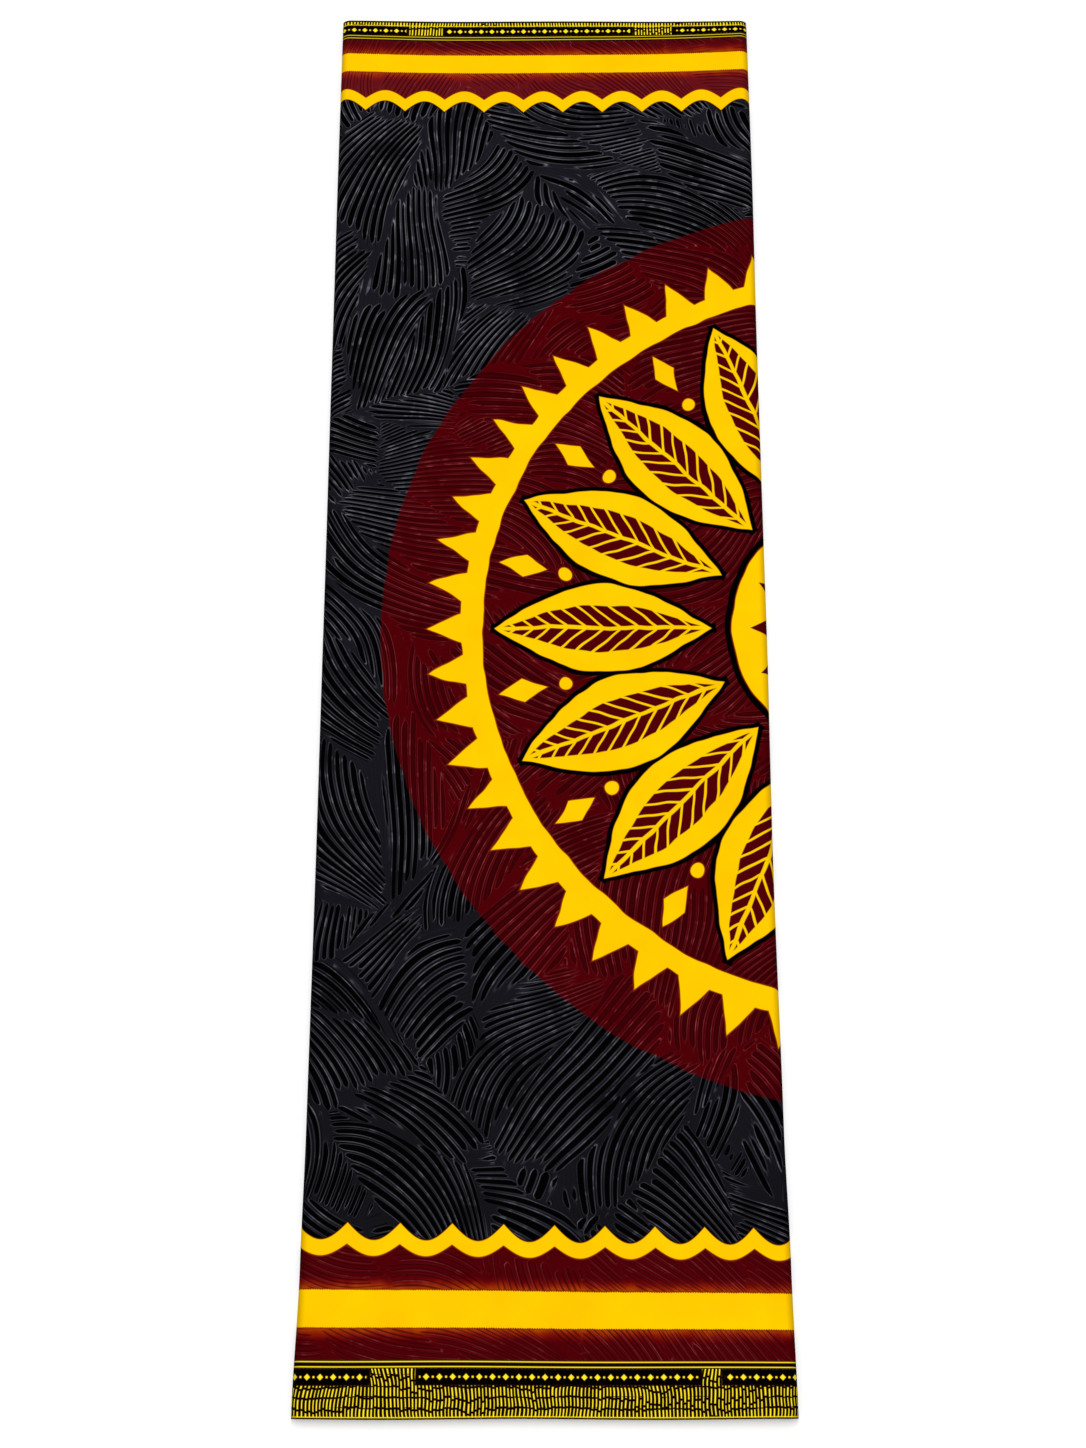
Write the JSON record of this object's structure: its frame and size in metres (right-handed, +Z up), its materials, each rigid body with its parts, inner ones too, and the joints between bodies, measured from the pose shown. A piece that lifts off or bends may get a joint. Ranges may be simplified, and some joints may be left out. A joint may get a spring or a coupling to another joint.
{
  "type": "folded wax print fabric",
  "caption": "A length of printed cotton cloth wound flat into a long thin pack, with two rounded folds along its sides and layered selvedge ends, lying on its back.",
  "frame": {"origin": "middle of the flat underside, midway between the two folds and midway between the two selvedges", "axes": "+X across the pack towards the picture's right, +Y from the near selvedge to the far one, +Z up off the surface it lies on"},
  "size_m": [0.3578, 1.17, 0.0107],
  "materials": {
    "printed_cotton": "black, maroon and yellow wax print on plain-woven cotton, with a faint waxy sheen",
    "printed_cotton_inside": "the same print on the hidden turns, of which the yellow and black selvedges show"
  },
  "bodies": {
    "root": {"top_stretch": "printed_cotton", "left_fold": "printed_cotton", "right_fold": "printed_cotton", "under_stretch": "printed_cotton", "inner_layers": "printed_cotton_inside"}
  },
  "joints": []
}
